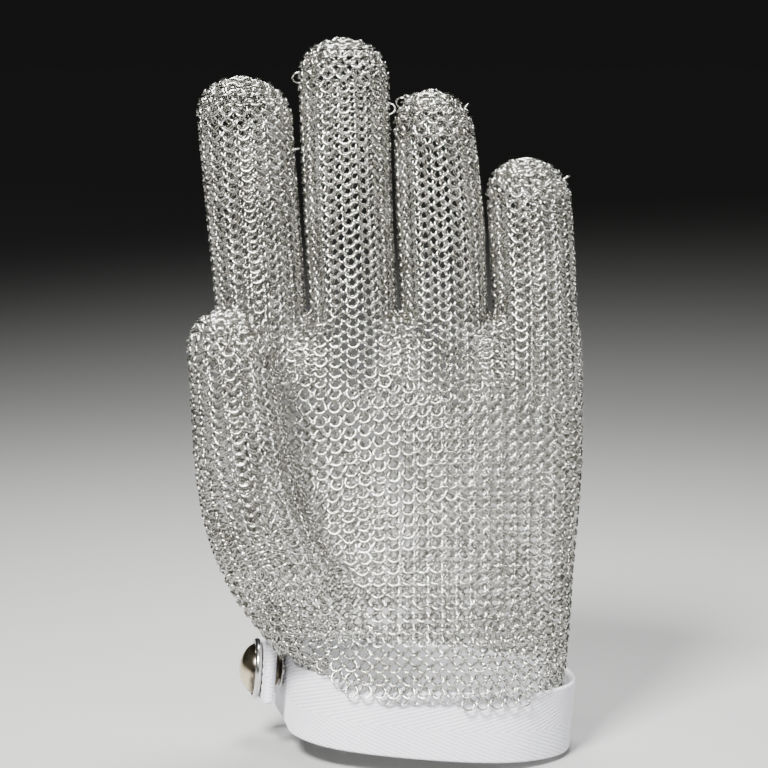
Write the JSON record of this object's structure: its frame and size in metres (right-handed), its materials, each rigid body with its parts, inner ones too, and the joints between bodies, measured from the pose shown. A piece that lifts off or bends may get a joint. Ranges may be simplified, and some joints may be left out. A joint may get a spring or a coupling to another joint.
{
  "type": "ring mail cut resistant glove",
  "caption": "Hand-shaped protective glove of interlinked welded steel rings with finger stalls, a thumb stall, a webbing wrist strap and a hinged tab with a press snap.",
  "frame": {"origin": "middle of the wrist opening, in the plane of the strap's lower edge", "axes": "+Z from the wrist to the fingertips, -Y out of the palm, -X towards the thumb"},
  "size_m": [0.1201, 0.0735, 0.2202],
  "materials": {
    "mail_steel": "polished stainless steel rings",
    "mail_fold": "polished stainless steel rings, bunched at the joint",
    "webbing": "white woven herringbone webbing",
    "snap_nickel": "nickel plated",
    "snap_brass": "dull brass"
  },
  "bodies": {
    "hand": {"palm_mail": "mail_steel", "back_mail": "mail_steel", "index_knuckle_fold": "mail_fold", "middle_knuckle_fold": "mail_fold", "ring_knuckle_fold": "mail_fold", "little_knuckle_fold": "mail_fold", "thumb_base_fold": "mail_fold", "wrist_strap": "webbing", "snap_stud": "snap_nickel", "snap_post": "snap_nickel"},
    "index_knuckle": {"index_knuckle_mail": "mail_steel", "index_middle_fold": "mail_fold"},
    "index_middle": {"index_middle_mail": "mail_steel", "index_tip_fold": "mail_fold"},
    "index_tip": {"index_tip_mail": "mail_steel"},
    "middle_knuckle": {"middle_knuckle_mail": "mail_steel", "middle_middle_fold": "mail_fold"},
    "middle_middle": {"middle_middle_mail": "mail_steel", "middle_tip_fold": "mail_fold"},
    "middle_tip": {"middle_tip_mail": "mail_steel"},
    "ring_knuckle": {"ring_knuckle_mail": "mail_steel", "ring_middle_fold": "mail_fold"},
    "ring_middle": {"ring_middle_mail": "mail_steel", "ring_tip_fold": "mail_fold"},
    "ring_tip": {"ring_tip_mail": "mail_steel"},
    "little_knuckle": {"little_knuckle_mail": "mail_steel", "little_middle_fold": "mail_fold"},
    "little_middle": {"little_middle_mail": "mail_steel", "little_tip_fold": "mail_fold"},
    "little_tip": {"little_tip_mail": "mail_steel"},
    "thumb_base": {"thumb_base_mail": "mail_steel", "thumb_middle_fold": "mail_fold"},
    "thumb_middle": {"thumb_middle_mail": "mail_steel", "thumb_tip_fold": "mail_fold"},
    "thumb_tip": {"thumb_tip_mail": "mail_steel"},
    "tab": {"strap_tab": "webbing", "snap_cap": "snap_nickel", "snap_socket": "snap_brass"}
  },
  "joints": [
    {"name": "index_knuckle", "type": "hinge", "parent": "hand", "child": "index_knuckle", "pos_m": [-0.04956, -0.00041, 0.141], "axis": [1, 0, 0], "range_deg": [0, 60], "deforming": ["index_knuckle_fold"]},
    {"name": "index_middle", "type": "hinge", "parent": "index_knuckle", "child": "index_middle", "pos_m": [-0.05137, -0.00184, 0.165], "axis": [1, 0, 0], "range_deg": [0, 70], "deforming": ["index_middle_fold"]},
    {"name": "index_tip", "type": "hinge", "parent": "index_middle", "child": "index_tip", "pos_m": [-0.05288, -0.00338, 0.185], "axis": [1, 0, 0], "range_deg": [0, 35], "deforming": ["index_tip_fold"]},
    {"name": "middle_knuckle", "type": "hinge", "parent": "hand", "child": "middle_knuckle", "pos_m": [-0.02122, -0.00037, 0.143], "axis": [1, 0, 0], "range_deg": [0, 60], "deforming": ["middle_knuckle_fold"]},
    {"name": "middle_middle", "type": "hinge", "parent": "middle_knuckle", "child": "middle_middle", "pos_m": [-0.02252, -0.00186, 0.171], "axis": [1, 0, 0], "range_deg": [0, 70], "deforming": ["middle_middle_fold"]},
    {"name": "middle_tip", "type": "hinge", "parent": "middle_middle", "child": "middle_tip", "pos_m": [-0.02326, -0.00349, 0.195], "axis": [1, 0, 0], "range_deg": [0, 35], "deforming": ["middle_tip_fold"]},
    {"name": "ring_knuckle", "type": "hinge", "parent": "hand", "child": "ring_knuckle", "pos_m": [0.0067, -0.00035, 0.142], "axis": [1, 0, 0], "range_deg": [0, 60], "deforming": ["ring_knuckle_fold"]},
    {"name": "ring_middle", "type": "hinge", "parent": "ring_knuckle", "child": "ring_middle", "pos_m": [0.00558, -0.00164, 0.164], "axis": [1, 0, 0], "range_deg": [0, 70], "deforming": ["ring_middle_fold"]},
    {"name": "ring_tip", "type": "hinge", "parent": "ring_middle", "child": "ring_tip", "pos_m": [0.00419, -0.00326, 0.1825], "axis": [1, 0, 0], "range_deg": [0, 35], "deforming": ["ring_tip_fold"]},
    {"name": "little_knuckle", "type": "hinge", "parent": "hand", "child": "little_knuckle", "pos_m": [0.0347, -0.00029, 0.136], "axis": [1, 0, 0], "range_deg": [0, 60], "deforming": ["little_knuckle_fold"]},
    {"name": "little_middle", "type": "hinge", "parent": "little_knuckle", "child": "little_middle", "pos_m": [0.03373, -0.00145, 0.1535], "axis": [1, 0, 0], "range_deg": [0, 56], "deforming": ["little_middle_fold"]},
    {"name": "little_tip", "type": "hinge", "parent": "little_middle", "child": "little_tip", "pos_m": [0.03259, -0.00316, 0.1675], "axis": [1, 0, 0], "range_deg": [0, 28], "deforming": ["little_tip_fold"]},
    {"name": "thumb_base", "type": "hinge", "parent": "hand", "child": "thumb_base", "pos_m": [-0.03937, -0.02302, 0.078], "axis": [0, -1, 0], "range_deg": [0, 25], "deforming": ["thumb_base_fold"]},
    {"name": "thumb_middle", "type": "hinge", "parent": "thumb_base", "child": "thumb_middle", "pos_m": [-0.05345, -0.02619, 0.094], "axis": [-0.6606, -0.7507, 0], "range_deg": [-45, 0], "deforming": ["thumb_middle_fold"]},
    {"name": "thumb_tip", "type": "hinge", "parent": "thumb_middle", "child": "thumb_tip", "pos_m": [-0.05549, -0.02861, 0.113], "axis": [-0.6606, -0.7507, 0], "range_deg": [-54, 0], "deforming": ["thumb_tip_fold"]},
    {"name": "tab_hinge", "type": "hinge", "parent": "hand", "child": "tab", "pos_m": [-0.03669, 0.0294, 0.00289], "axis": [-0.0785, 0, -0.9969], "range_deg": [0, 100]}
  ],
  "couplings": [
    {"joint": "index_tip", "follows": "index_middle", "ratio": 0.5},
    {"joint": "middle_tip", "follows": "middle_middle", "ratio": 0.5},
    {"joint": "ring_tip", "follows": "ring_middle", "ratio": 0.5},
    {"joint": "little_tip", "follows": "little_middle", "ratio": 0.5},
    {"joint": "thumb_tip", "follows": "thumb_middle", "ratio": 1.2}
  ]
}
